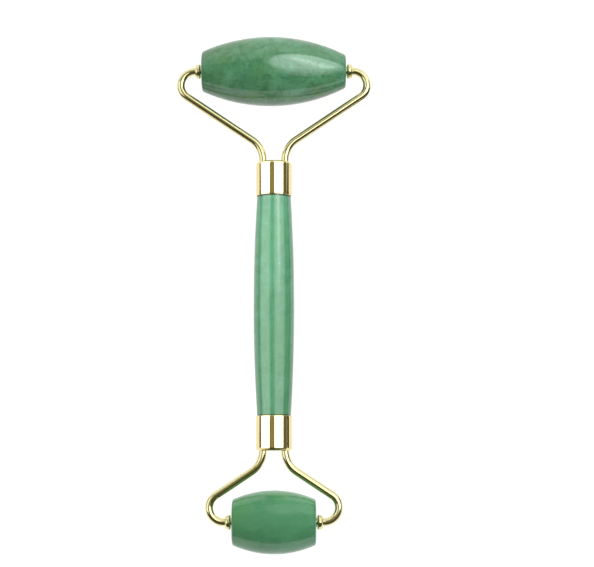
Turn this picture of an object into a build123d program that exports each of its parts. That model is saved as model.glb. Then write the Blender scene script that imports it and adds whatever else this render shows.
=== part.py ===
from build123d import *
from dataclasses import dataclass
from math import radians, sqrt, tan
import os

# Jade face roller: a jade handle with a large barrel roller at one end and a small one at the other.
#
# Frame: the tool lies flat. +Y runs along the handle towards the large barrel, X runs along both
# axles and +Z points up from the table, which the large barrel touches. The origin is on the table,
# under the middle of the tool. All sizes are millimetres.

# ---- whole tool ----
OVERALL_LENGTH = 145.2      # outside of one barrel to outside of the other

# ---- bent wire arms, two to a yoke ----
WIRE_RADIUS = 1.1
LEG_OFFSET = 3.1            # centre of each leg from the handle's axis
SHOULDER_BEND = 6.8         # centreline radius where an arm leaves the ferrule
HOOK_BEND = 4.0             # centreline radius where an arm turns in to the axle
TIP_DEPTH = 5.0             # how far the arm's tip runs into the stone
TIP_CHAMFER = 0.25

# ---- collars soldered on the arms beside the barrels ----
COLLAR_LENGTH = 1.6
COLLAR_RADIUS = 2.1
COLLAR_BACK = 0.5           # length of the shallow dome that faces the barrel
COLLAR_BACK_RADIUS = 1.65   # flat where that dome ends
COLLAR_LAND = 0.15          # straight band between the two domes
COLLAR_NECK = 1.3           # radius where the outer dome ends, just over the wire

# ---- bushes in the barrels' bores ----
BUSH_BORE_RADIUS = 1.15     # 0.05 running clearance round the arm's tip
BUSH_BODY_RADIUS = 1.7
BUSH_NOSE_RADIUS = 1.45     # step that stands out of the stone and meets the collar
BUSH_NOSE_LENGTH = 0.2
BUSH_DEPTH = 6.0
BUSH_EDGE = 0.06
END_PLAY = 0.15             # axial gap between a bush's nose and the collar

# ---- barrel stones ----
STONE_BORE_DEPTH = 6.5
STONE_RIM_ROUND = 0.5

# ---- ferrules, turned cups that hold the handle's ends ----
FERRULE_LENGTH = 9.65
FERRULE_RADIUS = 5.1
FERRULE_BORE_RADIUS = 4.75
FERRULE_END_WALL = 1.0
FERRULE_SHOULDER = 0.8      # rounding of the closed end
FERRULE_LIP = 0.12          # rounding of the open rim

# ---- inside each ferrule ----
SOLDER_THICKNESS = 1.2      # pad that fixes the two legs behind the end wall
GLUE_THICKNESS = 0.6        # adhesive between the pad and the end of the handle
GLUE_RECESS = 0.3           # glue line's depth behind the rim

# ---- handle ----
HANDLE_CROWN_RADIUS = 5.7   # largest radius of the barrel-shaped grip
HANDLE_CROWN_Y = -3.7       # where that largest radius lies
HANDLE_RIM_RADIUS = 4.7     # where the grip enters a ferrule
SPIGOT_RADIUS = 4.62        # glued length inside a ferrule
SPIGOT_CHAMFER = 0.4


@dataclass
class RollerEnd:
    """One end of the tool: a barrel, its wire yoke and the ferrule that holds the yoke."""

    name: str
    direction: int          # +1 where this end lies towards +Y, -1 towards -Y
    stone_radius: float
    stone_length: float
    crown_radius: float     # radius of the arc that the barrel's side follows
    crown_shift: float      # how far the fattest section lies from the middle
    arm_angle: float        # degrees between an arm's straight run and the axle
    hook_start: float       # distance from the handle's axis to the start of the hook bend
    ferrule_end: float      # distance along the handle from the middle to the closed end

    @property
    def axle_y(self):
        return self.direction * (OVERALL_LENGTH / 2 - self.stone_radius)

    @property
    def axle_plane(self):
        """Sketch plane through the axle: local x runs along the axle, local y is the radius."""
        return Plane(origin=(0, self.axle_y, AXLE_HEIGHT), x_dir=(1, 0, 0), z_dir=(0, 0, 1))

    @property
    def axle(self):
        return Axis((0, self.axle_y, AXLE_HEIGHT), (1, 0, 0))

    @property
    def half_length(self):
        return self.stone_length / 2

    @property
    def collar_start(self):
        return self.half_length + BUSH_NOSE_LENGTH + END_PLAY

    def side_radius(self, x):
        """Radius of the crowned side at a distance x along the axle."""
        offset = x - self.crown_shift
        return self.stone_radius - self.crown_radius + sqrt(self.crown_radius**2 - offset**2)

    def along(self, depth):
        """Y of a point at a depth inside the ferrule, measured from its closed end."""
        return self.direction * (self.ferrule_end - depth)


LARGE = RollerEnd(
    name="large",
    direction=1,
    stone_radius=9.8,
    stone_length=40.8,
    crown_radius=47.0,
    crown_shift=-1.0,
    arm_angle=34.0,
    hook_start=22.35,
    ferrule_end=36.65,
)
SMALL = RollerEnd(
    name="small",
    direction=-1,
    stone_radius=8.75,
    stone_length=23.2,
    crown_radius=27.6,
    crown_shift=0.0,
    arm_angle=33.4,
    hook_start=13.9,
    ferrule_end=44.25,
)
SIDES = {"left": -1, "right": 1}

AXLE_HEIGHT = LARGE.stone_radius
CENTRE_PLANE = Plane.XY.offset(AXLE_HEIGHT)
HANDLE_AXIS = Axis((0, 0, AXLE_HEIGHT), (0, 1, 0))

# depth of the handle's end behind a ferrule's closed end
HANDLE_END_DEPTH = FERRULE_END_WALL + SOLDER_THICKNESS + GLUE_THICKNESS


def save(piece, name):
    """Label a finished piece and write it as the node of that name."""
    piece.part.label = name
    export_step(piece.part, f"parts/{name}.step")


# ---- handle ----
def make_handle():
    """A long barrel-shaped rod with a plain spigot at each end for its ferrule."""
    top_end = LARGE.along(HANDLE_END_DEPTH)
    top_step = LARGE.along(FERRULE_LENGTH - GLUE_RECESS)
    bottom_step = SMALL.along(FERRULE_LENGTH - GLUE_RECESS)
    bottom_end = SMALL.along(HANDLE_END_DEPTH)
    with BuildPart() as handle:
        with BuildSketch(CENTRE_PLANE):
            with BuildLine():
                ThreePointArc(
                    (HANDLE_RIM_RADIUS, top_step),
                    (HANDLE_CROWN_RADIUS, HANDLE_CROWN_Y),
                    (HANDLE_RIM_RADIUS, bottom_step),
                )
                Polyline(
                    (HANDLE_RIM_RADIUS, bottom_step),
                    (SPIGOT_RADIUS, bottom_step),
                    (SPIGOT_RADIUS, bottom_end),
                    (0, bottom_end),
                    (0, top_end),
                    (SPIGOT_RADIUS, top_end),
                    (SPIGOT_RADIUS, top_step),
                    (HANDLE_RIM_RADIUS, top_step),
                )
            make_face()
        revolve(axis=HANDLE_AXIS)
        end_edges = handle.edges().filter_by(Plane.XZ).sort_by(Axis.Y)
        chamfer([end_edges[0], end_edges[-1]], SPIGOT_CHAMFER)
    return handle


# ---- ferrule and what it holds ----
def make_ferrule(end):
    """A thin turned cup: open towards the handle, closed towards the barrel, with two leg holes."""
    closed_plane = Plane(
        origin=(0, end.along(0), AXLE_HEIGHT), x_dir=(1, 0, 0), z_dir=(0, end.direction, 0)
    )
    with BuildPart() as ferrule:
        with BuildSketch(closed_plane):
            Circle(FERRULE_RADIUS)
        extrude(amount=-FERRULE_LENGTH)
        closed_edge = ferrule.edges().filter_by(Plane.XZ).sort_by(Axis.Y)[-1 if end.direction > 0 else 0]
        fillet(closed_edge, FERRULE_SHOULDER)
        with BuildSketch(closed_plane.offset(-FERRULE_LENGTH)):
            Circle(FERRULE_BORE_RADIUS)
        extrude(amount=FERRULE_LENGTH - FERRULE_END_WALL, mode=Mode.SUBTRACT)
        rim_edges = ferrule.edges().filter_by(Plane.XZ).group_by(Axis.Y)[0 if end.direction > 0 else -1]
        fillet(rim_edges, FERRULE_LIP)
        with BuildSketch(closed_plane):
            with GridLocations(2 * LEG_OFFSET, 0, 2, 1):
                Circle(WIRE_RADIUS)
        extrude(amount=-FERRULE_END_WALL, mode=Mode.SUBTRACT)
    return ferrule


def make_solder_pad(end):
    """The pool of solder behind the end wall, run round both legs."""
    pad_plane = Plane(
        origin=(0, end.along(FERRULE_END_WALL), AXLE_HEIGHT),
        x_dir=(1, 0, 0),
        z_dir=(0, -end.direction, 0),
    )
    with BuildPart() as pad:
        with BuildSketch(pad_plane):
            Circle(FERRULE_BORE_RADIUS)
            with GridLocations(2 * LEG_OFFSET, 0, 2, 1):
                Circle(WIRE_RADIUS, mode=Mode.SUBTRACT)
        extrude(amount=SOLDER_THICKNESS)
    return pad


def make_glue_bed(end):
    """Adhesive moulded between cup and handle: a disc at the end and a thin sleeve round the spigot."""
    pad_face = end.along(FERRULE_END_WALL + SOLDER_THICKNESS)
    handle_end = end.along(HANDLE_END_DEPTH)
    sleeve_end = end.along(FERRULE_LENGTH - GLUE_RECESS)
    with BuildPart() as glue:
        with BuildSketch(CENTRE_PLANE):
            with BuildLine():
                Polyline(
                    (0, pad_face),
                    (FERRULE_BORE_RADIUS, pad_face),
                    (FERRULE_BORE_RADIUS, sleeve_end),
                    (SPIGOT_RADIUS, sleeve_end),
                    (SPIGOT_RADIUS, handle_end),
                    (0, handle_end),
                    close=True,
                )
            make_face()
        revolve(axis=HANDLE_AXIS)
    return glue


# ---- wire arms ----
def make_arm(end, side):
    """One bent wire: its leg stands in the ferrule, its hooked tip is the barrel's axle pin."""
    slope = tan(radians(end.arm_angle))
    hook_corner_x = end.hook_start + HOOK_BEND / tan(radians(end.arm_angle / 2))
    shoulder_y = end.axle_y - end.direction * (hook_corner_x - LEG_OFFSET) * slope
    tip = (side * (end.half_length - TIP_DEPTH), end.axle_y)
    hook_corner = (side * hook_corner_x, end.axle_y)
    shoulder_corner = (side * LEG_OFFSET, shoulder_y)
    leg_end = (side * LEG_OFFSET, end.along(FERRULE_END_WALL + SOLDER_THICKNESS))
    with BuildPart() as arm:
        with BuildLine(CENTRE_PLANE):
            FilletPolyline(tip, hook_corner, shoulder_corner, leg_end, radius=[HOOK_BEND, SHOULDER_BEND])
        with BuildSketch(Plane(origin=(*tip, AXLE_HEIGHT), z_dir=(side, 0, 0))):
            Circle(WIRE_RADIUS)
        sweep()
        round_edges = arm.edges().filter_by(GeomType.CIRCLE)
        chamfer(round_edges.sort_by_distance((*tip, AXLE_HEIGHT))[0], TIP_CHAMFER)
    return arm


def make_collar(end, side):
    """A bead soldered on the arm, domed on both sides, which keeps the barrel from sliding along it."""
    start = end.collar_start
    land_start = start + COLLAR_BACK
    land_end = land_start + COLLAR_LAND
    stop = start + COLLAR_LENGTH
    with BuildPart() as collar:
        with BuildSketch(end.axle_plane):
            with BuildLine():
                Polyline(
                    (side * stop, COLLAR_NECK),
                    (side * stop, WIRE_RADIUS),
                    (side * start, WIRE_RADIUS),
                    (side * start, COLLAR_BACK_RADIUS),
                )
                TangentArc(
                    (side * land_start, COLLAR_RADIUS), (side * start, COLLAR_BACK_RADIUS), tangent=(-side, 0)
                )
                Line((side * land_start, COLLAR_RADIUS), (side * land_end, COLLAR_RADIUS))
                TangentArc(
                    (side * land_end, COLLAR_RADIUS), (side * stop, COLLAR_NECK), tangent=(side, 0)
                )
            make_face()
        revolve(axis=end.axle)
    return collar


# ---- barrel rollers ----
def make_stone(end):
    """A crowned barrel with rounded rims and a blind bore in each end for its bush."""
    left_rim = (-end.half_length, end.side_radius(-end.half_length))
    right_rim = (end.half_length, end.side_radius(end.half_length))
    with BuildPart() as stone:
        with BuildSketch(end.axle_plane):
            with BuildLine():
                ThreePointArc(left_rim, (end.crown_shift, end.stone_radius), right_rim)
                Polyline(right_rim, (end.half_length, 0), (-end.half_length, 0), left_rim)
            make_face()
        revolve(axis=end.axle)
        fillet(stone.edges().filter_by(Plane.YZ), STONE_RIM_ROUND)
        end_faces = stone.faces().filter_by(Plane.YZ)
        with Locations(end_faces):
            Hole(BUSH_BODY_RADIUS, depth=STONE_BORE_DEPTH)
    return stone


def make_bush(end, side):
    """A tube pressed into the barrel's bore, turning on the arm's tip, with a short nose outside."""
    inner = end.half_length - BUSH_DEPTH
    face = end.half_length
    nose = face + BUSH_NOSE_LENGTH
    with BuildPart() as bush:
        with BuildSketch(end.axle_plane):
            with BuildLine():
                Polyline(
                    (side * inner, BUSH_BORE_RADIUS),
                    (side * inner, BUSH_BODY_RADIUS),
                    (side * face, BUSH_BODY_RADIUS),
                    (side * face, BUSH_NOSE_RADIUS),
                    (side * nose, BUSH_NOSE_RADIUS),
                    (side * nose, BUSH_BORE_RADIUS),
                    close=True,
                )
            make_face()
        revolve(axis=end.axle)
        end_edges = bush.edges().filter_by(Plane.YZ).group_by(Axis.X)[-1 if side > 0 else 0]
        fillet(end_edges.sort_by(SortBy.RADIUS)[-1], BUSH_EDGE)
    return bush


os.makedirs("parts", exist_ok=True)
save(make_handle(), "handle")
for roller_end in (LARGE, SMALL):
    save(make_ferrule(roller_end), f"{roller_end.name}_ferrule")
    save(make_solder_pad(roller_end), f"{roller_end.name}_solder_pad")
    save(make_glue_bed(roller_end), f"{roller_end.name}_glue_bed")
    save(make_stone(roller_end), f"{roller_end.name}_stone")
    for side_name, side_sign in SIDES.items():
        save(make_arm(roller_end, side_sign), f"{roller_end.name}_{side_name}_arm")
        save(make_collar(roller_end, side_sign), f"{roller_end.name}_{side_name}_collar")
        save(make_bush(roller_end, side_sign), f"{roller_end.name}_{side_name}_bush")
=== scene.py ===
# %% [markdown]
# # A jade face roller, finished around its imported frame
#
# The frame holds every piece of the tool at its real size and place: a jade handle, two gold
# ferrules, four bent wire arms, four collars, two jade barrels and four bushes, and the solder and
# glue inside the ferrules. This script gives each visible piece a finer mesh and a finish.

# %% Load the frame
from dataclasses import dataclass
from math import acos, cos, degrees, pi, radians, sin, sqrt, tan

import bpy
from mathutils import Matrix, Vector


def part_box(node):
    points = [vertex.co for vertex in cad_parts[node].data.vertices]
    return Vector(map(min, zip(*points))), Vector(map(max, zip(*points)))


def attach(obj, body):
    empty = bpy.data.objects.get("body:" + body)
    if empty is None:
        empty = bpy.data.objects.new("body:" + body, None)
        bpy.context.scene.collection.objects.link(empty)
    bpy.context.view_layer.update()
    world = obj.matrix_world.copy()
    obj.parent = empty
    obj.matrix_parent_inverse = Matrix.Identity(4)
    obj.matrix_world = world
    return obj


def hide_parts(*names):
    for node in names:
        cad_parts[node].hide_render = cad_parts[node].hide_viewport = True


MM = 0.001

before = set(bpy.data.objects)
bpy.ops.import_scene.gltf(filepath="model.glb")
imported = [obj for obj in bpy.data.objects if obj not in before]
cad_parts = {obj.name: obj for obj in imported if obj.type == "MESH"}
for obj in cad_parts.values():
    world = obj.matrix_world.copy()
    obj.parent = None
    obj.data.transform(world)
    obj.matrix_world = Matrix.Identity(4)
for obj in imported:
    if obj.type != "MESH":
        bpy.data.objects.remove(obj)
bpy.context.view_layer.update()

# %% [markdown]
# Blender and the frame count in metres. Real sizes are easier to read in millimetres, so they are
# written as a number times `MM`. The two ends of the tool are built alike from different sizes, so
# one small class reads both from the frame. Only a barrel's arc and an arm's slope are given here,
# because a box can't show them.

# %% The two ends of the tool
SIDES = {"left": -1, "right": 1}


@dataclass
class ToolEnd:
    """Where one end's barrel and ferrule are, read from the frame."""

    name: str
    toward: int             # +1 at the end that points to +Y, -1 at the other
    side_arc: float         # radius of the long arc that the barrel's side follows
    crown_shift: float      # how far the fattest section is from the barrel's middle
    arm_slope: float        # between an arm's straight run and the axle

    @property
    def axle(self):
        """The middle of the barrel, on its axle."""
        low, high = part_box(f"{self.name}_stone")
        return (low + high) / 2

    @property
    def barrel_radius(self):
        """The barrel's radius at its crown."""
        low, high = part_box(f"{self.name}_stone")
        return (high.z - low.z) / 2

    @property
    def half_length(self):
        """From the barrel's middle to one of its faces."""
        low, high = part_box(f"{self.name}_stone")
        return (high.x - low.x) / 2

    @property
    def ferrule_faces(self):
        """Y of the ferrule's closed end and of its open rim."""
        low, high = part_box(f"{self.name}_ferrule")
        return (high.y, low.y) if self.toward > 0 else (low.y, high.y)


ENDS = [
    ToolEnd("large", toward=1, side_arc=47.0 * MM, crown_shift=-1.0 * MM, arm_slope=radians(34.0)),
    ToolEnd("small", toward=-1, side_arc=27.6 * MM, crown_shift=0.0, arm_slope=radians(33.4)),
]
for end in ENDS:
    print(end.name, "barrel: radius", round(end.barrel_radius / MM, 2), "mm, half its length",
          round(end.half_length / MM, 2), "mm")

# %% [markdown]
# ## Working like a lathe
#
# Almost every piece of this tool is round, and was turned, ground or drawn. A round piece can be
# made by spinning an outline, but then its pole and seam have to be merged. Here a circle is drawn
# at one end instead, and its edge is extruded and scaled from station to station along the axis,
# which leaves clean rings that can be picked by their place and bevelled. A rod's open ends are
# filled at the end, and a ring's are bridged.

# %% Turning a round piece
X_AXIS = Vector((1, 0, 0))
Y_AXIS = Vector((0, 1, 0))
AXIS_HEIGHT = ENDS[0].axle.z


def clear_selection():
    """Nothing is selected, and Blender is in object mode."""
    if bpy.context.object and bpy.context.object.mode != "OBJECT":
        bpy.ops.object.mode_set(mode="OBJECT")
    bpy.ops.object.select_all(action="DESELECT")


def close_boundary(ring):
    """A ring's first and last edges are bridged; a rod's two open ends get a face each."""
    bpy.ops.mesh.select_all(action="DESELECT")
    bpy.ops.mesh.select_non_manifold(
        extend=False, use_wire=False, use_multi_face=False, use_non_contiguous=False, use_verts=False
    )
    if ring:
        bpy.ops.mesh.bridge_edge_loops()
    else:
        bpy.ops.mesh.fill_holes(sides=0)
    bpy.ops.mesh.select_all(action="SELECT")
    bpy.ops.mesh.normals_make_consistent(inside=False)
    bpy.ops.object.mode_set(mode="OBJECT")


def open_circle(name, radius, centre, rotation, segments):
    """A circle without a face, whose edge is selected in edit mode, ready to be extruded."""
    clear_selection()
    bpy.ops.mesh.primitive_circle_add(
        vertices=segments, radius=radius, fill_type="NOTHING", location=centre, rotation=rotation
    )
    piece = bpy.context.object
    piece.name = name
    bpy.ops.object.transform_apply(location=True, rotation=True, scale=True)
    bpy.ops.object.mode_set(mode="EDIT")
    bpy.ops.mesh.select_mode(type="EDGE")
    bpy.ops.mesh.select_all(action="SELECT")
    return piece


def extrude(step):
    """The selected edges are drawn out by this step."""
    bpy.ops.mesh.extrude_edges_move(TRANSFORM_OT_translate={"value": step})


def turned(name, stations, base, axis, segments, ring=False):
    """A round piece from (distance along the axis, radius) stations. A ring has a bore, a rod has ends."""
    distance, radius = stations[0]
    facing = axis.to_track_quat("Z", "Y").to_euler()
    piece = open_circle(name, radius, base + axis * distance, facing, segments)
    for next_distance, next_radius in stations[1:]:
        extrude(axis * (next_distance - distance))
        if next_radius != radius:
            across = next_radius / radius
            scale = [1 if along else across for along in axis]
            bpy.ops.transform.resize(value=scale, center_override=base + axis * next_distance)
        distance, radius = next_distance, next_radius
    close_boundary(ring)
    return piece


print("the tool's long axis is", round(AXIS_HEIGHT / MM, 2), "mm above the table")

# %% [markdown]
# ## The jade barrels
#
# A barrel is ground from one piece of stone. Its side is a single shallow arc, its two rims are
# eased so that they don't drag on skin, and a blind hole is drilled into each end for the bush that
# the wire turns in. The hole is part of the outline, so the stone is one closed shell and needs no
# cutting.

# %% Turn the barrels
BARREL_SEGMENTS = 144
BARREL_STATIONS = 56
BORE_RADIUS = 1.7 * MM
BORE_DEPTH = 6.5 * MM


def crowned_side(start, stop, crown_at, crown_radius, side_arc, count):
    """Stations along a side that follows one long arc, fattest at crown_at."""
    stations = []
    for step in range(count + 1):
        distance = start + (stop - start) * step / count
        offset = distance - crown_at
        stations.append((distance, crown_radius - side_arc + sqrt(side_arc**2 - offset**2)))
    return stations


def barrel_side(end):
    """The crowned side of one end's barrel, from its left face to its right face."""
    reach = end.half_length
    return crowned_side(-reach, reach, end.crown_shift, end.barrel_radius, end.side_arc, BARREL_STATIONS)


def turn_barrel(end):
    """A crowned stone with a blind bore in each end."""
    reach = end.half_length
    left_bore = [(BORE_DEPTH - reach, BORE_RADIUS), (-reach, BORE_RADIUS)]
    right_bore = [(reach, BORE_RADIUS), (reach - BORE_DEPTH, BORE_RADIUS)]
    stations = left_bore + barrel_side(end) + right_bore
    return turned(f"{end.name}_barrel_jade", stations, end.axle, X_AXIS, BARREL_SEGMENTS)


barrels = {end.name: turn_barrel(end) for end in ENDS}
for barrel in barrels.values():
    print(barrel.name, "has", len(barrel.data.vertices) // BARREL_SEGMENTS, "rings of", BARREL_SEGMENTS)

# %% [markdown]
# A rim is eased with a bevel. Bevel works on selected edges, and the rim is found by its place: how
# far along the axis it lies, and how far out from it.

# %% Ease the barrels' rims
PICK_REACH = 0.02 * MM
RIM_ROUND = 0.55 * MM
RIM_SEGMENTS = 6


def select_only(piece):
    """This piece alone is selected and active."""
    clear_selection()
    piece.select_set(True)
    bpy.context.view_layer.objects.active = piece


def bevel_rings(piece, rings, base, axis, width, segments):
    """Rounds the edge rings at the given (distance, radius) places, and any edge that joins two of them."""
    select_only(piece)
    chosen = set()
    for vertex in piece.data.vertices:
        offset = vertex.co - base
        distance = offset.dot(axis)
        radius = (offset - axis * distance).length
        if any(abs(distance - d) < PICK_REACH and abs(radius - r) < PICK_REACH for d, r in rings):
            chosen.add(vertex.index)
    bpy.ops.object.mode_set(mode="EDIT")
    bpy.ops.mesh.select_mode(type="EDGE")
    bpy.ops.mesh.select_all(action="DESELECT")
    bpy.ops.object.mode_set(mode="OBJECT")
    for edge in piece.data.edges:
        edge.select = all(v in chosen for v in edge.vertices)
    bpy.ops.object.mode_set(mode="EDIT")
    bpy.ops.mesh.bevel(offset=width, segments=segments, profile=0.5, affect="EDGES", clamp_overlap=False)
    bpy.ops.mesh.select_all(action="SELECT")
    bpy.ops.mesh.normals_make_consistent(inside=False)
    bpy.ops.object.mode_set(mode="OBJECT")


for end in ENDS:
    rims = [barrel_side(end)[0], barrel_side(end)[-1]]
    bevel_rings(barrels[end.name], rims, end.axle, X_AXIS, RIM_ROUND, RIM_SEGMENTS)
    print(end.name, "barrel: rims of radius", [round(radius / MM, 2) for distance, radius in rims], "mm")

# %% [markdown]
# Stone is polished by hand against a wheel, so its side waves by a few hundredths of a millimetre,
# and its reflections wander a little. A Displace modifier does this with a soft cloud texture. Its
# middle level of one means that it only takes stone away, so the piece stays inside the frame's
# size. Then the piece is shaded smooth, and it gets its place in the frame: the body that it rides
# on, and the frame's node that it stands for, which is hidden.

# %% Polish and place the barrels
POLISH_DEPTH = 0.05 * MM
BARREL_LUMP = 9 * MM
CREASE = radians(40)


def apply_modifiers(piece):
    """Each modifier becomes part of the mesh."""
    select_only(piece)
    for modifier in list(piece.modifiers):
        bpy.ops.object.modifier_apply(modifier=modifier.name)


def hand_polish(piece, lump_size):
    """Shallow waves of this size over the whole piece."""
    lumps = bpy.data.textures.new(f"{piece.name}_lumps", type="CLOUDS")
    lumps.noise_scale = lump_size
    lumps.noise_depth = 1
    wave = piece.modifiers.new("hand polish", "DISPLACE")
    wave.texture = lumps
    wave.texture_coords = "LOCAL"
    wave.strength = POLISH_DEPTH
    wave.mid_level = 1.0
    apply_modifiers(piece)


def smooth(piece):
    """Smooth shading, with the sharp edges kept crisp."""
    select_only(piece)
    bpy.ops.object.shade_smooth_by_angle(angle=CREASE)


def place(piece, body, node):
    """The piece is shaded smooth, rides on its body, and hides the frame's node that it stands for."""
    smooth(piece)
    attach(piece, body)
    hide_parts(node)
    print(piece.name, "faces", len(piece.data.polygons), "on", body)


for end in ENDS:
    hand_polish(barrels[end.name], BARREL_LUMP)
    place(barrels[end.name], f"{end.name}_roller", f"{end.name}_stone")

# %% [markdown]
# ## The jade handle
#
# The handle is a longer rod of the same stone, fattest a little below its middle. Each end is a
# plain spigot, glued into its ferrule, so only the arc between the two rims shows. Its radius
# follows from how far the side falls between the crown and the lower rim.

# %% Make the handle
HANDLE_SEGMENTS = 128
HANDLE_STATIONS = 64
HANDLE_LUMP = 11 * MM
SPIGOT_RADIUS = 4.62 * MM
RIM_ENTRY_RADIUS = 4.7 * MM
GLUE_RECESS = 0.3 * MM
CROWN_FROM_MIDDLE = -3.7 * MM


def arc_through(crown_at, crown_radius, entry_at, entry_radius):
    """Radius of the arc that is fattest at the crown and falls to the entry's radius."""
    fall = crown_radius - entry_radius
    reach = crown_at - entry_at
    return (reach**2 + fall**2) / (2 * fall)


def make_handle():
    """A long crowned rod with a plain spigot at each end."""
    low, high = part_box("handle")
    crown_radius = (high.x - low.x) / 2
    top_entry = ENDS[0].ferrule_faces[1] + GLUE_RECESS
    bottom_entry = ENDS[1].ferrule_faces[1] - GLUE_RECESS
    side_arc = arc_through(CROWN_FROM_MIDDLE, crown_radius, bottom_entry, RIM_ENTRY_RADIUS)
    side = crowned_side(
        bottom_entry, top_entry, CROWN_FROM_MIDDLE, crown_radius, side_arc, HANDLE_STATIONS
    )
    bottom_spigot = [(low.y, SPIGOT_RADIUS), (bottom_entry, SPIGOT_RADIUS)]
    top_spigot = [(top_entry, SPIGOT_RADIUS), (high.y, SPIGOT_RADIUS)]
    stations = bottom_spigot + side + top_spigot
    rod = turned("handle_jade", stations, Vector((0, 0, AXIS_HEIGHT)), Y_AXIS, HANDLE_SEGMENTS)
    hand_polish(rod, HANDLE_LUMP)
    place(rod, "handle_frame", "handle")
    return rod


handle = make_handle()

# %% [markdown]
# ## The ferrules
#
# A ferrule is a thin brass cup, turned and then plated. Its closed end has a rounded shoulder, and
# its open rim is barely broken, so it shows as a bright line against the stone. The wires pass
# through two holes in the closed end. Those aren't round the cup's own axis, so they are cut with a
# cylinder and a Boolean modifier.

# %% Make the ferrules
FERRULE_SEGMENTS = 128
FERRULE_STATIONS = 8
FERRULE_WALL = 0.35 * MM
FERRULE_END_WALL = 1.0 * MM
SHOULDER_ROUND = 0.8 * MM
SHOULDER_SEGMENTS = 8
LIP_ROUND = 0.12 * MM
FINE_EDGE_SEGMENTS = 3
LEG_OFFSET = 3.1 * MM
LEG_HOLE_RADIUS = 1.11 * MM
LEG_HOLE_SEGMENTS = 48


def drill(piece, centre, radius, depth):
    """Cuts a round hole along Y with a cylinder, which is then deleted."""
    clear_selection()
    facing = Y_AXIS.to_track_quat("Z", "Y").to_euler()
    bpy.ops.mesh.primitive_cylinder_add(
        vertices=LEG_HOLE_SEGMENTS, radius=radius, depth=depth, location=centre, rotation=facing
    )
    cutter = bpy.context.object
    hole = piece.modifiers.new("hole", "BOOLEAN")
    hole.operation = "DIFFERENCE"
    hole.object = cutter
    hole.solver = "EXACT"
    apply_modifiers(piece)
    bpy.data.objects.remove(cutter)


def make_ferrule(end):
    """A cup with a rounded shoulder, a fine lip and two leg holes."""
    low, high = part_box(f"{end.name}_ferrule")
    outer = (high.x - low.x) / 2
    bore = outer - FERRULE_WALL
    length = high.y - low.y
    base = Vector((0, end.ferrule_faces[0], AXIS_HEIGHT))
    inward = Y_AXIS * -end.toward
    outside = [(length * (1 - step / FERRULE_STATIONS), outer) for step in range(FERRULE_STATIONS + 1)]
    stations = [(FERRULE_END_WALL, bore), (length, bore), *outside]
    cup = turned(f"{end.name}_ferrule_cup", stations, base, inward, FERRULE_SEGMENTS)
    bevel_rings(cup, [(0, outer)], base, inward, SHOULDER_ROUND, SHOULDER_SEGMENTS)
    bevel_rings(cup, [(length, outer), (length, bore)], base, inward, LIP_ROUND, FINE_EDGE_SEGMENTS)
    for side in SIDES.values():
        middle = base + inward * (FERRULE_END_WALL / 2) + X_AXIS * (side * LEG_OFFSET)
        drill(cup, middle, LEG_HOLE_RADIUS, 2 * FERRULE_END_WALL)
    place(cup, "handle_frame", f"{end.name}_ferrule")
    return cup


ferrules = [make_ferrule(end) for end in ENDS]

# %% [markdown]
# ## The wire arms
#
# Each arm is one piece of drawn wire with two bends: a wide one where it leaves the ferrule, and a
# tight hook that brings its tip in along the axle, where it is the barrel's bearing pin. A circle
# drawn at the tip is taken along the wire as a bender would take it: straight, spin, straight,
# spin, straight. A curve with a bevel would be quicker, but here each ring can be scaled on its own.

# %% Tools for bending wire
WIRE_RADIUS = 1.1 * MM
BEND_STEP = radians(4)
END_STEP = 0.3 * MM


def run(step):
    """Straight wire, with a short piece at each end so that a bend's shading stays in the bend."""
    step = Vector(step)
    short = step.normalized() * min(END_STEP, step.length / 3)
    for piece in (short, step - 2 * short, short):
        extrude(piece)


def bend(centre, angle):
    """A bend about a point, seen from above. Spin turns clockwise for a positive angle."""
    steps = round(abs(angle) / BEND_STEP)
    bpy.ops.mesh.spin(steps=steps, angle=-angle, center=centre, axis=(0, 0, 1))


def swell(centre, factor):
    """Scales the wire's open end across its length, which runs along Y there."""
    bpy.ops.transform.resize(value=(factor, 1, factor), center_override=centre)


for end in ENDS:
    print(end.name, "hook turns", round(180 - degrees(end.arm_slope), 1), "degrees")

# %% [markdown]
# The bends follow from two straight lines that meet at a corner: the axle and the arm's slope. A
# bend of a given radius starts before its corner by the radius times the tangent of half the turn.
# Just outside the large ferrule the leg swells a little, where solder has run round it. On the
# small end the bend comes right up to the ferrule and leaves no room for that.

# %% Make the arms
WIRE_SEGMENTS = 40
HOOK_BEND = 4.0 * MM
SHOULDER_BEND = 6.8 * MM
TIP_DEPTH = 5.0 * MM
TIP_ROUND = 0.25 * MM
SOLDER_REACH = 0.35 * MM
SOLDER_GROWTH = 1.2
SOLDER_STATIONS = [(0.6, 0.3), (1.0, 1.0)]  # how far through the reach, with how much of the growth


def start_tip(name, side, tip):
    """A wire's tip, whose edge is eased out to the wire's full radius."""
    arm = open_circle(name, WIRE_RADIUS - TIP_ROUND, tip, (0, side * pi / 2, 0), WIRE_SEGMENTS)
    run((side * TIP_ROUND, 0, 0))
    full = WIRE_RADIUS / (WIRE_RADIUS - TIP_ROUND)
    bpy.ops.transform.resize(value=(1, full, full), center_override=tip + X_AXIS * (side * TIP_ROUND))
    return arm


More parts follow.
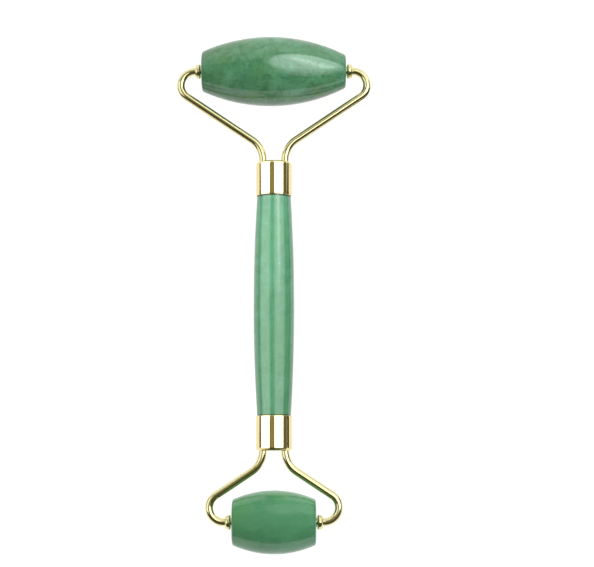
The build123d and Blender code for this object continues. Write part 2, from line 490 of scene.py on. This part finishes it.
def run_leg(start, face_y, foot_y, down):
    """The straight leg: up to the ferrule's face, with solder where there is room, and on to its foot."""
    if abs(face_y - start.y) > SOLDER_REACH:
        face = Vector((start.x, face_y, start.z))
        run((0, face_y - down * SOLDER_REACH - start.y, 0))
        reached, size = 0, 1
        for share, growth in SOLDER_STATIONS:
            run((0, down * SOLDER_REACH * (share - reached), 0))
            grown = 1 + (SOLDER_GROWTH - 1) * growth
            swell(face, grown / size)
            reached, size = share, grown
        extrude((0, 0, 0))
        swell(face, 1 / size)
    else:
        run((0, face_y - start.y, 0))
    run((0, foot_y - face_y, 0))


def make_arm(end, side_name):
    """One bent wire, from its tip in the barrel to its foot inside the ferrule."""
    side = SIDES[side_name]
    down = -end.toward
    slope = end.arm_slope
    axle_y, axle_z = end.axle.y, end.axle.z
    low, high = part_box(f"{end.name}_{side_name}_arm")
    hook_x = max(abs(low.x), abs(high.x)) - WIRE_RADIUS - HOOK_BEND
    hook_cut = HOOK_BEND / tan(slope / 2)
    from_corner_to_leg = hook_x + hook_cut - LEG_OFFSET
    shoulder_turn = pi / 2 - slope
    shoulder_cut = SHOULDER_BEND * tan(shoulder_turn / 2)
    straight = from_corner_to_leg / cos(slope) - hook_cut - shoulder_cut
    fall = from_corner_to_leg * tan(slope) + shoulder_cut
    leg_start = Vector((side * LEG_OFFSET, axle_y + down * fall, axle_z))

    tip = Vector((side * (end.half_length - TIP_DEPTH), axle_y, axle_z))
    arm = start_tip(f"{end.name}_{side_name}_arm_wire", side, tip)
    run((side * (hook_x - TIP_ROUND) - tip.x, 0, 0))
    bend(Vector((side * hook_x, axle_y + down * HOOK_BEND, axle_z)), side * down * (pi - slope))
    run(Vector((-side * cos(slope), down * sin(slope), 0)) * straight)
    bend(leg_start + X_AXIS * (side * SHOULDER_BEND), -side * down * shoulder_turn)
    run_leg(leg_start, end.ferrule_faces[0], low.y if end.toward > 0 else high.y, down)
    close_boundary(ring=False)
    place(arm, "handle_frame", f"{end.name}_{side_name}_arm")
    return arm


arms = [make_arm(end, side_name) for end in ENDS for side_name in SIDES]

# %% [markdown]
# ## The collars
#
# A small bead is soldered on each wire beside the barrel, so the barrel can't slide along the wire.
# It is domed on both sides, and its steeper outer side rolls over to just above the wire. It is a
# ring, so its first and last edges are bridged to close it.

# %% Make the collars
RING_SEGMENTS = 72
COLLAR_BACK = 0.5 * MM
COLLAR_BACK_RADIUS = 1.65 * MM
COLLAR_LAND = 0.15 * MM
COLLAR_NECK = 1.3 * MM
DOME_STEPS = 10


def dome(top, top_radius, foot, foot_radius):
    """Stations of an arc that leaves its top along the axis and falls to its foot."""
    reach = abs(foot - top)
    fall = top_radius - foot_radius
    arc = (reach**2 + fall**2) / (2 * fall)
    full = acos(1 - fall / arc)
    toward = 1 if foot > top else -1
    angles = [full * step / DOME_STEPS for step in range(DOME_STEPS + 1)]
    return [(top + toward * arc * sin(angle), top_radius - arc * (1 - cos(angle))) for angle in angles]


def make_collar(end, side_name):
    """A bead with a shallow dome towards the barrel and a deeper one away from it."""
    low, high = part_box(f"{end.name}_{side_name}_collar")
    radius = (high.z - low.z) / 2
    near, far = sorted((abs(low.x), abs(high.x)))
    back = dome(near + COLLAR_BACK, radius, near, COLLAR_BACK_RADIUS)
    front = dome(near + COLLAR_BACK + COLLAR_LAND, radius, far, COLLAR_NECK)
    stations = [(near, WIRE_RADIUS), *reversed(back), *front, (far, WIRE_RADIUS)]
    base = Vector((0, end.axle.y, end.axle.z))
    outward = X_AXIS * SIDES[side_name]
    name = f"{end.name}_{side_name}_collar_bead"
    collar = turned(name, stations, base, outward, RING_SEGMENTS, ring=True)
    place(collar, "handle_frame", f"{end.name}_{side_name}_collar")
    return collar


collars = [make_collar(end, side_name) for end in ENDS for side_name in SIDES]

# %% [markdown]
# ## The bushes
#
# A brass bush is pressed into each end of a barrel and turns on the wire's tip. Only its nose
# stands out of the stone, as a thin dark line beside the collar, its colour darkened as painted
# shade of the gap there. The rest of the tube fills the stone's bore.

# %% Make the bushes
BUSH_BORE = 1.15 * MM
NOSE_RADIUS = 1.45 * MM
NOSE_LENGTH = 0.2 * MM
NOSE_EDGE = 0.06 * MM


def make_bush(end, side_name):
    """A tube whose short nose stands out of the barrel's end."""
    low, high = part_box(f"{end.name}_{side_name}_bush")
    inner, outer = sorted((abs(low.x), abs(high.x)))
    face = outer - NOSE_LENGTH
    stations = [
        (inner, BUSH_BORE),
        (inner, BORE_RADIUS),
        (face, BORE_RADIUS),
        (face, NOSE_RADIUS),
        (outer, NOSE_RADIUS),
        (outer, BUSH_BORE),
    ]
    base = Vector((0, end.axle.y, end.axle.z))
    outward = X_AXIS * SIDES[side_name]
    name = f"{end.name}_{side_name}_bush_brass"
    bush = turned(name, stations, base, outward, RING_SEGMENTS, ring=True)
    bevel_rings(bush, [(outer, NOSE_RADIUS)], base, outward, NOSE_EDGE, FINE_EDGE_SEGMENTS)
    place(bush, f"{end.name}_roller", f"{end.name}_{side_name}_bush")
    return bush


bushes = [make_bush(end, side_name) for end in ENDS for side_name in SIDES]

# %% [markdown]
# ## Finishes
#
# Patterns are read from Object coordinates, in metres, so a noise of scale 100 has features of
# about a hundredth of a metre. Every finish is built from the same few nodes, so small helpers add
# them and join them up.

# %% Node helpers
MIX_FACTOR, MIX_FIRST, MIX_SECOND, MIX_RESULT = 0, 6, 7, 2  # a Mix node's sockets for colours


def add_node(tree, kind, inputs=None, **settings):
    """Adds a node, with its settings and the values of its named inputs."""
    node = tree.nodes.new(kind)
    for name, value in settings.items():
        setattr(node, name, value)
    for name, value in (inputs or {}).items():
        node.inputs[name].default_value = value
    return node


def feed(tree, value, socket):
    """A socket takes its value from another socket, or a fixed one."""
    if isinstance(value, bpy.types.NodeSocket):
        tree.links.new(value, socket)
    else:
        socket.default_value = value


def noise(tree, vector, scale, detail, roughness=0.5, distortion=0.0):
    """A noise texture on the given coordinates; returns its value."""
    settings = {"Detail": detail, "Roughness": roughness, "Distortion": distortion}
    node = add_node(tree, "ShaderNodeTexNoise", settings)
    feed(tree, vector, node.inputs["Vector"])
    feed(tree, scale, node.inputs["Scale"])
    return node.outputs["Fac"]


def remap(tree, value, low, high, to_low=0.0, to_high=1.0):
    """Stretches low..high to to_low..to_high, clamped."""
    node = add_node(tree, "ShaderNodeMapRange", {"From Min": low, "From Max": high})
    feed(tree, value, node.inputs["Value"])
    feed(tree, to_low, node.inputs["To Min"])
    feed(tree, to_high, node.inputs["To Max"])
    return node.outputs["Result"]


def mix_colour(tree, factor, first, second):
    """Mixes two colours by a factor."""
    node = add_node(tree, "ShaderNodeMix", data_type="RGBA")
    feed(tree, factor, node.inputs[MIX_FACTOR])
    feed(tree, first, node.inputs[MIX_FIRST])
    feed(tree, second, node.inputs[MIX_SECOND])
    return node.outputs[MIX_RESULT]


def compute(tree, operation, *values):
    """A Math node on these values."""
    node = add_node(tree, "ShaderNodeMath", operation=operation)
    for value, socket in zip(values, node.inputs):
        feed(tree, value, socket)
    return node.outputs[0]


# %% [markdown]
# Two effects are shared by several materials, so each is built once as a node group with named
# inputs. The first is the inside of the stone. Jade is a felt of tiny crystals, so light goes a
# little way in and comes back softened. What shows is a quiet green with pale clouds, deeper
# patches, a slow drift to a yellower green, and faint grain and flecks. The group mixes these by
# their own noises, whose scales follow the clouds' scale, and gives out only the colour.

# %% Shared effect: clouded stone
def new_group(name, inputs, outputs):
    """A shader node group with named sockets: inputs as (name, type, default), outputs as (name, type)."""
    group = bpy.data.node_groups.new(name, "ShaderNodeTree")
    for socket, kind, value in inputs:
        made = group.interface.new_socket(name=socket, in_out="INPUT", socket_type=kind)
        if value is not None:
            made.default_value = value
    for socket, kind in outputs:
        group.interface.new_socket(name=socket, in_out="OUTPUT", socket_type=kind)
    return group, group.nodes.new("NodeGroupInput").outputs, group.nodes.new("NodeGroupOutput").inputs


def build_clouded_stone():
    """Pale clouds, deep patches, a warm drift, grain and flecks over a body colour."""
    tree, given, result = new_group(
        "clouded stone",
        [
            ("Vector", "NodeSocketVector", None),
            ("Cloud Scale", "NodeSocketFloat", 160.0),
            ("Body", "NodeSocketColor", (0.05, 0.2, 0.1, 1)),
            ("Pale", "NodeSocketColor", (0.1, 0.3, 0.2, 1)),
            ("Deep", "NodeSocketColor", (0.02, 0.1, 0.05, 1)),
            ("Warm", "NodeSocketColor", (0.06, 0.2, 0.06, 1)),
            ("Fleck", "NodeSocketColor", (0.2, 0.4, 0.25, 1)),
        ],
        [("Color", "NodeSocketColor")],
    )

    def layer(finer, low, high, strength, **pattern):
        """A mask from one noise, this many times finer than the clouds, at this strength."""
        scale = compute(tree, "MULTIPLY", given["Cloud Scale"], finer)
        return remap(tree, noise(tree, given["Vector"], scale, **pattern), low, high, to_high=strength)

    clouds = layer(1, 0.40, 0.66, 1.0, detail=5, roughness=0.6, distortion=1.0)
    drift = layer(0.45, 0.42, 0.64, 0.7, detail=3, distortion=0.6)
    patches = layer(1.7, 0.48, 0.68, 0.8, detail=4, roughness=0.6, distortion=1.6)
    grain = layer(6, 0.35, 0.65, 0.3, detail=3, roughness=0.7)
    flecks = layer(13, 0.66, 0.76, 0.45, detail=2, roughness=0.6)
    masks = [(clouds, "Pale"), (drift, "Warm"), (patches, "Deep"), (grain, "Deep"), (flecks, "Fleck")]
    colour = given["Body"]
    for mask, tone in masks:
        colour = mix_colour(tree, mask, colour, given[tone])
    feed(tree, colour, result["Color"])
    return tree


CLOUDED_STONE = build_clouded_stone()
print("node group:", CLOUDED_STONE.name, len(CLOUDED_STONE.nodes), "nodes")

# %% [markdown]
# Nothing polished is perfectly even. The second group gives a roughness that drifts between two
# values in soft smears, as handling leaves it, and a height made of very shallow ripples with
# finer scratches over them, for a Bump node. The scratches are stretched along Y, the way that a
# cloth runs over the tool.

# %% Shared effect: polish
SCRATCH_SCALE = 5200
SCRATCH_STRETCH = (1, 0.12, 1)
RIPPLE_FINER = 1.6


def build_polish():
    """Smeared roughness between two values, and a height of ripples and scratches."""
    tree, given, result = new_group(
        "polish",
        [
            ("Vector", "NodeSocketVector", None),
            ("Smear Scale", "NodeSocketFloat", 150.0),
            ("Smooth", "NodeSocketFloat", 0.06),
            ("Dull", "NodeSocketFloat", 0.14),
            ("Scratch", "NodeSocketFloat", 0.3),
        ],
        [("Roughness", "NodeSocketFloat"), ("Height", "NodeSocketFloat")],
    )
    vector, smear_scale = given["Vector"], given["Smear Scale"]
    smears = noise(tree, vector, smear_scale, detail=4, roughness=0.6, distortion=0.5)
    feed(tree, remap(tree, smears, 0.35, 0.7, given["Smooth"], given["Dull"]), result["Roughness"])
    stretch = add_node(tree, "ShaderNodeMapping", {"Scale": SCRATCH_STRETCH})
    feed(tree, vector, stretch.inputs["Vector"])
    scratches = noise(tree, stretch.outputs["Vector"], SCRATCH_SCALE, detail=2, roughness=0.6)
    ripples = noise(tree, vector, compute(tree, "MULTIPLY", smear_scale, RIPPLE_FINER), detail=2)
    height = compute(tree, "MULTIPLY_ADD", scratches, given["Scratch"], ripples)
    feed(tree, height, result["Height"])
    return tree


POLISH = build_polish()
print("node group:", POLISH.name, len(POLISH.nodes), "nodes")

# %% [markdown]
# ## Jade
#
# The three stones come from different pieces of rough, so each has its own offset in the pattern,
# its own cloud size and its own green. Light that sinks in is set on the shader itself: it travels
# furthest in the green. The polish is glassy, with a trace of a smear. Where the handle enters a
# ferrule, a fine dark line of painted shade runs along the lip, where the lip would shade the stone.

# %% The jade material
# A fine line of painted shade on the handle beside each ferrule's lip, where the lip would shade the stone.
LIP_SHADE = (0.030, 0.040, 0.018, 1)
LIP_SHADE_HALF = 0.16 * MM
LIP_SHADE_STRENGTH = 0.8


def start_material(name):
    """A new material with its shader and its object coordinates."""
    material = bpy.data.materials.new(name)
    material.use_nodes = True
    tree = material.node_tree
    coordinates = add_node(tree, "ShaderNodeTexCoord")
    return material, tree, tree.nodes["Principled BSDF"], coordinates.outputs["Object"]


def add_polish(tree, shader, vector, roughness, scratch, smear_scale, depth):
    """Feeds the shader's roughness and normal from the polish group."""
    smoothest, dullest = roughness
    settings = {"Smear Scale": smear_scale, "Smooth": smoothest, "Dull": dullest, "Scratch": scratch}
    polish = add_node(tree, "ShaderNodeGroup", settings, node_tree=POLISH)
    feed(tree, vector, polish.inputs["Vector"])
    feed(tree, polish.outputs["Roughness"], shader.inputs["Roughness"])
    bump = add_node(tree, "ShaderNodeBump", {"Strength": 1.0, "Distance": depth})
    feed(tree, polish.outputs["Height"], bump.inputs["Height"])
    feed(tree, bump.outputs["Normal"], shader.inputs["Normal"])


def near_rim(tree, vector, rim):
    """Strongest on the painted shade line at this Y, fading to nothing beside it."""
    parts = add_node(tree, "ShaderNodeSeparateXYZ")
    feed(tree, vector, parts.inputs["Vector"])
    gap = compute(tree, "ABSOLUTE", compute(tree, "SUBTRACT", parts.outputs["Y"], rim))
    return remap(tree, gap, LIP_SHADE_HALF, 2 * LIP_SHADE_HALF, LIP_SHADE_STRENGTH, 0.0)


def jade(name, offset, cloud_scale, tones, roughness, rims=()):
    """Polished, slightly translucent green stone. Rims are the Y of ferrule lips, with painted shade along
    them.
    """
    material, tree, shader, vector = start_material(name)
    moved = add_node(tree, "ShaderNodeMapping", {"Location": offset})
    feed(tree, vector, moved.inputs["Vector"])
    settings = {tone: (*colour, 1) for tone, colour in tones.items()}
    stone = add_node(
        tree, "ShaderNodeGroup", {"Cloud Scale": cloud_scale, **settings}, node_tree=CLOUDED_STONE
    )
    feed(tree, moved.outputs["Vector"], stone.inputs["Vector"])
    colour = stone.outputs["Color"]
    # Painted shade: a dark line beside each ferrule's lip.
    for rim in rims:
        colour = mix_colour(tree, near_rim(tree, vector, rim), colour, LIP_SHADE)
    feed(tree, colour, shader.inputs["Base Color"])
    add_polish(
        tree, shader, moved.outputs["Vector"], roughness, scratch=0.02, smear_scale=110, depth=0.01 * MM
    )
    shader.inputs["IOR"].default_value = 1.61
    shader.inputs["Subsurface Weight"].default_value = 0.35
    shader.inputs["Subsurface Radius"].default_value = (0.5, 1.0, 0.6)
    shader.inputs["Subsurface Scale"].default_value = 1.5 * MM
    return material


def finish(pieces, material):
    """Each piece has this one material."""
    for piece in pieces:
        piece.data.materials.clear()
        piece.data.materials.append(material)
        print(piece.name, "is finished in", material.name)


# %% [markdown]
# The handle is a quiet stone with large soft clouds. The large barrel is darker and the most broken
# up, and the small one is plain, with a yellower drift.

# %% Three stones
finish([handle], jade(
    "jade_handle",
    offset=(0.31, 0.07, 0.0),
    cloud_scale=80,
    tones={
        "Body": (0.056, 0.190, 0.102),
        "Pale": (0.076, 0.232, 0.138),
        "Deep": (0.043, 0.158, 0.080),
        "Warm": (0.064, 0.194, 0.084),
        "Fleck": (0.140, 0.350, 0.220),
    },
    roughness=(0.17, 0.21),
    # The painted shade lines lie just outside each ferrule's lip, on the stone that shows.
    rims=[end.ferrule_faces[1] - end.toward * LIP_SHADE_HALF for end in ENDS],
))
finish([barrels["large"]], jade(
    "jade_large_barrel",
    offset=(0.02, 0.53, 0.11),
    cloud_scale=150,
    tones={
        "Body": (0.051, 0.150, 0.079),
        "Pale": (0.086, 0.220, 0.128),
        "Deep": (0.029, 0.098, 0.047),
        "Warm": (0.065, 0.160, 0.056),
        "Fleck": (0.150, 0.300, 0.188),
    },
    roughness=(0.10, 0.17),
))
finish([barrels["small"]], jade(
    "jade_small_barrel",
    offset=(0.83, 0.19, 0.27),
    cloud_scale=75,
    tones={
        "Body": (0.056, 0.200, 0.100),
        "Pale": (0.074, 0.242, 0.130),
        "Deep": (0.046, 0.168, 0.082),
        "Warm": (0.074, 0.216, 0.080),
        "Fleck": (0.120, 0.300, 0.170),
    },
    roughness=(0.15, 0.21),
))

# %% [markdown]
# ## Gold plating and brass
#
# The wires, collars and ferrules carry a thin layer of pale gold over polished brass. It is nearly a
# mirror, and its colour comes from what it reflects, so the base colour is light and the detail is
# in the polish. Drawn wire is a little greener and duller than the turned ferrules. The bushes are
# bare brass, duller still, and darker in colour: painted shade for the gap beside each collar.

# %% Materials: metals
def metal(name, bright, worn, roughness, scratch, depth):
    """A metal whose colour drifts a little between bright and worn."""
    material, tree, shader, vector = start_material(name)
    drift = remap(tree, noise(tree, vector, 170, detail=4, roughness=0.6, distortion=0.4), 0.4, 0.75)
    colour = mix_colour(tree, drift, (*bright, 1), (*worn, 1))
    feed(tree, colour, shader.inputs["Base Color"])
    add_polish(tree, shader, vector, roughness, scratch, smear_scale=190, depth=depth)
    shader.inputs["Metallic"].default_value = 1.0
    return material


finish(ferrules, metal(
    "gold_plate",
    bright=(0.86, 0.74, 0.40),
    worn=(0.82, 0.70, 0.35),
    roughness=(0.05, 0.09),
    scratch=0.05,
    depth=0.005 * MM,
))
finish(arms + collars, metal(
    "gold_wire",
    bright=(0.80, 0.745, 0.425),
    worn=(0.75, 0.69, 0.365),
    roughness=(0.08, 0.15),
    scratch=0.10,
    depth=0.006 * MM,
))
# The bushes' colour is darkened past bare brass as painted shade for the shadowed gap beside each collar.
finish(bushes, metal(
    "bush_brass",
    bright=(0.42, 0.37, 0.17),
    worn=(0.30, 0.26, 0.11),
    roughness=(0.22, 0.38),
    scratch=0.3,
    depth=0.02 * MM,
))

# %% [markdown]
# ## Solder and glue
#
# These were poured rather than made, and they sit inside the ferrules, where they hardly show. They
# keep the frame's own meshes and only get a finish, which goes into the slot of the node's material.

# %% Materials: solder and glue
def cast(name, light, dark, roughness, metallic):
    """Solder or glue: a lumpy poured surface."""
    material, tree, shader, vector = start_material(name)
    lumps = remap(tree, noise(tree, vector, 700, detail=3, roughness=0.6), 0.35, 0.65)
    feed(tree, mix_colour(tree, lumps, (*light, 1), (*dark, 1)), shader.inputs["Base Color"])
    add_polish(tree, shader, vector, roughness, scratch=0.2, smear_scale=600, depth=0.06 * MM)
    shader.inputs["Metallic"].default_value = metallic
    return material


solder = cast(
    "solder", light=(0.60, 0.60, 0.58), dark=(0.42, 0.42, 0.41), roughness=(0.35, 0.5), metallic=1.0
)
adhesive = cast(
    "adhesive", light=(0.62, 0.54, 0.36), dark=(0.52, 0.44, 0.27), roughness=(0.25, 0.4), metallic=0.0
)
for end in ENDS:
    for node, material in ((f"{end.name}_solder_pad", solder), (f"{end.name}_glue_bed", adhesive)):
        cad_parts[node].material_slots[0].material = material
        print(node, "is finished in", material.name)

# %% [markdown]
# ## The table
#
# The tool lies on a plain white sheet that is also lit from below, as on a light table, so shadows
# almost vanish. The sheet glows less for light that bounces off it onto stone, which would
# otherwise look flat. It is clear from below, so that the tool's underside can be seen. The small
# barrel is a millimetre thinner in radius than the large one, so the sheet is tipped by half a
# degree until it touches both. It is part of the stage and not of the tool.

# %% Make the table
TABLE_SIZE = 3.0
SHEET_GLOW = 0.96
SEEN_GLOW = (1.0, 1.0, 1.0, 1)
BOUNCED_GLOW = (0.55, 0.55, 0.55, 1)


def make_table():
    """A pale plane that is tangent to both barrels."""
    large, small = ENDS
    span = large.axle.y - small.axle.y
    tip = -(large.barrel_radius - small.barrel_radius) / span
    clear_selection()
    bpy.ops.mesh.primitive_plane_add(size=TABLE_SIZE, location=(0, large.axle.y, 0), rotation=(tip, 0, 0))
    bpy.ops.object.transform_apply(location=True, rotation=True, scale=True)
    table = bpy.context.object
    table.name = "table"
    material, tree, shader, vector = start_material("table_paper")
    fibres = remap(tree, noise(tree, vector, 900, detail=4, roughness=0.6), 0.3, 0.7)
    paper = mix_colour(tree, fibres, (0.24, 0.24, 0.24, 1), (0.28, 0.28, 0.28, 1))
    feed(tree, paper, shader.inputs["Base Color"])
    shader.inputs["Roughness"].default_value = 0.9
    shader.inputs["Specular IOR Level"].default_value = 0.1
    path = add_node(tree, "ShaderNodeLightPath")
    glow = mix_colour(tree, path.outputs["Is Diffuse Ray"], SEEN_GLOW, BOUNCED_GLOW)
    feed(tree, glow, shader.inputs["Emission Color"])
    shader.inputs["Emission Strength"].default_value = SHEET_GLOW
    material.cycles.emission_sampling = "NONE"
    geometry = add_node(tree, "ShaderNodeNewGeometry")
    clear = add_node(tree, "ShaderNodeBsdfTransparent")
    one_sided = add_node(tree, "ShaderNodeMixShader")
    feed(tree, geometry.outputs["Backfacing"], one_sided.inputs[0])
    feed(tree, shader.outputs["BSDF"], one_sided.inputs[1])
    feed(tree, clear.outputs["BSDF"], one_sided.inputs[2])
    feed(tree, one_sided.outputs["Shader"], tree.nodes["Material Output"].inputs["Surface"])
    finish([table], material)
    print("table tipped by", round(degrees(tip), 2), "degrees")


make_table()

# %% [markdown]
# A mirror on a white sheet reflects white from all sides and loses its shape. Two dark cards lie
# beside the tool, as a photographer would place them, and draw dark lines along the wires. They are
# hidden from the camera, cast no shadow and colour nothing but mirror reflections.

# %% Lay the dark cards
CARD_HEIGHT = 1.3 * MM
CARD_ENDS = (-50 * MM, 60 * MM)
CARD_FAR_EDGE = 300 * MM


def make_flag(name, side, gap):
    """A dark card on one side, this far from the tool's long axis."""
    low, high = CARD_ENDS
    width = CARD_FAR_EDGE - gap
    centre = (side * (gap + width / 2), (low + high) / 2, CARD_HEIGHT)
    clear_selection()
    bpy.ops.mesh.primitive_plane_add(size=1.0, location=centre)
    flag = bpy.context.object
    flag.name = name
    bpy.ops.transform.resize(value=(width, high - low, 1))
    bpy.ops.object.transform_apply(location=True, rotation=True, scale=True)
    material, tree, shader, vector = start_material(f"{name}_card")
    weave = remap(tree, noise(tree, vector, 400, detail=3, roughness=0.6), 0.3, 0.7)
    colour = mix_colour(tree, weave, (0.045, 0.04, 0.02, 1), (0.06, 0.05, 0.025, 1))
    feed(tree, colour, shader.inputs["Base Color"])
    shader.inputs["Roughness"].default_value = 1.0
    shader.inputs["Specular IOR Level"].default_value = 0.0
    finish([flag], material)
    flag.visible_camera = False
    flag.visible_diffuse = False
    flag.visible_shadow = False


make_flag("right_flag", 1, 36 * MM)
make_flag("left_flag", -1, 54 * MM)

# %% [markdown]
# ## Light
#
# Polished metal and stone are lit by what they mirror, so each light is a large rectangle or ellipse
# placed by direction: how far it leans to the right and towards the large barrel, as seen from the
# tool, and how wide it looks from there. A photographer flags a light off one part of a shiny
# subject and lets it reach another, and the receivers of a light do the same here.

# %% Softboxes
TOOL_CENTRE = Vector((0, 0, AXIS_HEIGHT))
LIGHT_DISTANCE = 1.2
WHITE = (1.0, 1.0, 1.0)


def receivers(name, pieces):
    """The pieces that a light reaches."""
    group = bpy.data.collections.new(name)
    for piece in pieces:
        group.objects.link(piece)
    return group


def softbox(
    name, right, forward, radiance,
    turn=0, tint=WHITE, shape="RECTANGLE", far=LIGHT_DISTANCE, onto=None, mirrored=True,
):
    """A light that spans two angles to the right and two forward, in degrees, as seen from the tool."""
    a = radians(sum(right) / 2)
    b = radians(sum(forward) / 2)
    outward = Vector((sin(a) * cos(b), sin(b), cos(a) * cos(b)))
    across = Vector((cos(a), 0, -sin(a)))
    up = outward.cross(across)
    light = bpy.data.lights.new(name, "AREA")
    light.shape = shape
    light.size = 2 * far * tan(radians(right[1] - right[0]) / 2)
    light.size_y = 2 * far * tan(radians(forward[1] - forward[0]) / 2)
    filled = pi / 4 if shape == "ELLIPSE" else 1
    light.energy = radiance * pi * light.size * light.size_y * filled
    light.color = tint
    holder = bpy.data.objects.new(name, light)
    facing = Matrix((across, up, outward)).transposed().to_4x4()
    turned_in_place = Matrix.Rotation(radians(turn), 4, "Z")
    holder.matrix_world = Matrix.Translation(TOOL_CENTRE + outward * far) @ facing @ turned_in_place
    holder.visible_camera = False
    holder.visible_glossy = mirrored
    if onto:
        holder.light_linking.receiver_collection = onto
    bpy.context.scene.collection.objects.link(holder)
    print(name, "size", round(light.size, 2), round(light.size_y, 2), "power", round(light.energy, 1))


HANDLE_ONLY = receivers("lit_handle", [handle])
LARGE_STONE = receivers("lit_large_stone", [barrels["large"]])
SMALL_STONE = receivers("lit_small_stone", [barrels["small"]])
LONG_PIECES = receivers("lit_long_pieces", [handle, barrels["large"], *ferrules, *arms, *collars])
FERRULES = receivers("lit_ferrules", ferrules)
WIRES = receivers("lit_wires", arms + collars + bushes)
METAL = receivers("lit_metal", ferrules + arms + collars + bushes)

# %% [markdown]
# The large barrel mirrors a soft oval to the upper right, faintly tinted. It is three ovals over
# one another, so it fades towards its lower edge, and a slanting tube inside it draws the bright
# streak. The lights that aren't mirrored only fill the stone with an even glow.

# %% Light the large barrel
DEEP_GLOW = (0.82, 1.0, 0.92)
OVAL = {"shape": "ELLIPSE", "onto": LARGE_STONE}
KEY = {"turn": 8, "tint": DEEP_GLOW, **OVAL}

softbox("large_key", (0, 54), (-26, 51), 1.6, **KEY)
softbox("large_key_middle", (1, 53), (-14, 50), 1.45, **KEY)
softbox("large_key_upper", (1, 52), (-2, 50), 1.45, **KEY)
softbox("large_tube", (21, 41), (0, 42), 1.3, turn=41, **OVAL)
softbox("large_tube_core", (29, 33), (4, 40), 2.6, turn=41, onto=LARGE_STONE)
softbox("large_front", (-60, 30), (-88, -40), 1.3, onto=LARGE_STONE, mirrored=False)

# %% [markdown]
# The handle has a broad light on each side of it. Between the two is a dark strip, which draws the
# line down its middle, and a tube inside the right one adds a brighter line. The small barrel is
# mostly filled, with one faint light to mirror.

# %% Light the handle and the small barrel
softbox("handle_key", (4, 65), (-16, 40), 2.3, onto=HANDLE_ONLY)
softbox("handle_tube", (18, 37), (8, 50), 3.3, turn=10, onto=HANDLE_ONLY)
softbox("handle_left", (-82, -24), (-16, 30), 2.7, onto=HANDLE_ONLY)
softbox("handle_top", (-20, 20), (20, 60), 4.8, far=0.15, onto=HANDLE_ONLY, mirrored=False)
softbox("small_key", (4, 60), (30, 72), 0.6, onto=SMALL_STONE)
softbox("small_fill", (-40, 50), (20, 80), 1.9, onto=SMALL_STONE, mirrored=False)
softbox("small_right", (40, 88), (-25, 40), 2.1, onto=SMALL_STONE, mirrored=False)
softbox("small_left", (-88, -40), (-20, 45), 1.0, onto=SMALL_STONE, mirrored=False)
softbox("small_front", (-60, 60), (-90, -68), 1.7, onto=SMALL_STONE, mirrored=False)

# %% [markdown]
# The metal mirrors a bright light on each side and a dim warm strip between them and at the far
# right. Those strips give the ferrules their brown bands and the wires their dark core.

# %% Light the metal
WARM = (1.0, 0.92, 0.55)

softbox("ferrule_key", (4, 61), (-8, 58), 1.2, onto=FERRULES)
softbox("ferrule_key_lower", (4, 61), (-8, 22), 2.2, onto=FERRULES)
softbox("ferrule_left", (-86, -27), (-16, 40), 3.0, onto=FERRULES)
softbox("ferrule_ceiling", (-27, 4), (-6, 40), 0.06, tint=WARM, onto=FERRULES)
softbox("wire_key", (2, 56), (-6, 44), 0.9, onto=WIRES)
softbox("wire_key_lower", (4, 58), (-8, 20), 1.4, onto=WIRES)
softbox("wire_left", (-80, -28), (-16, 24), 1.2, onto=WIRES)
softbox("ceiling", (-26, 4), (-6, 40), 0.15, tint=WARM, onto=METAL)
softbox("far_wall", (61, 92), (-6, 40), 0.08, tint=WARM, onto=METAL)

# %% [markdown]
# Four lights are shared. Behind the large barrel a pale sweep comes up from the table, a low card
# closes the side nearest the camera, and an overhead light fills everything softly.

# %% Light the whole tool
softbox("sweep", (-60, 60), (32, 90), 0.6, onto=LONG_PIECES)
softbox("sweep_low", (-60, 60), (58, 90), 0.5, onto=LONG_PIECES)
softbox("low_card", (-60, 60), (-90, -80), 1.0)
softbox("overhead", (-50, 30), (-20, 60), 0.9, mirrored=False)

# %% [markdown]
# Past the lights and the table is the world. The metal should mirror a dim warm room there, while
# the camera should see plain white where it looks past the table, so the Light Path node chooses
# between two backgrounds. The Standard view keeps white as white.

# %% Surroundings
ROOM = (0.075, 0.070, 0.042)


def make_world():
    """A dim room in reflections, and plain white where the camera looks past the table."""
    world = bpy.data.worlds.new("studio")
    bpy.context.scene.world = world
    world.use_nodes = True
    tree = world.node_tree
    tree.nodes.clear()
    path = add_node(tree, "ShaderNodeLightPath")
    dim = add_node(tree, "ShaderNodeBackground", {"Color": (*ROOM, 1)})
    plain = add_node(tree, "ShaderNodeBackground", {"Color": (*WHITE, 1)})
    chosen = add_node(tree, "ShaderNodeMixShader")
    out = add_node(tree, "ShaderNodeOutputWorld")
    feed(tree, path.outputs["Is Camera Ray"], chosen.inputs[0])
    feed(tree, dim.outputs["Background"], chosen.inputs[1])
    feed(tree, plain.outputs["Background"], chosen.inputs[2])
    feed(tree, chosen.outputs["Shader"], out.inputs["Surface"])
    print("world:", world.name, len(tree.nodes), "nodes")


make_world()
bpy.context.scene.view_settings.view_transform = "Standard"

# %% [markdown]
# ## Camera
#
# The tool is seen from above, almost straight down, with the camera a little towards the small
# barrel. A long lens keeps the two ends close to the same scale. It is held a tenth of a degree off
# level.

# %% Camera
CAMERA_DISTANCE = 0.46
CAMERA_TILT = radians(6)
CAMERA_ROLL = radians(-0.1)
CAMERA_TARGET = Vector((6.45 * MM, 2.33 * MM, AXIS_HEIGHT))
LENS = 99.6
SENSOR_WIDTH = 36.0

camera_data = bpy.data.cameras.new("camera")
camera_data.lens = LENS
camera_data.sensor_width = SENSOR_WIDTH
camera = bpy.data.objects.new("camera", camera_data)
back = Vector((0, -sin(CAMERA_TILT), cos(CAMERA_TILT))) * CAMERA_DISTANCE
facing = Matrix.Rotation(CAMERA_TILT, 4, "X") @ Matrix.Rotation(CAMERA_ROLL, 4, "Z")
camera.matrix_world = Matrix.Translation(CAMERA_TARGET + back) @ facing
bpy.context.scene.collection.objects.link(camera)
bpy.context.scene.camera = camera
print("camera at", [round(v, 3) for v in camera.matrix_world.translation])
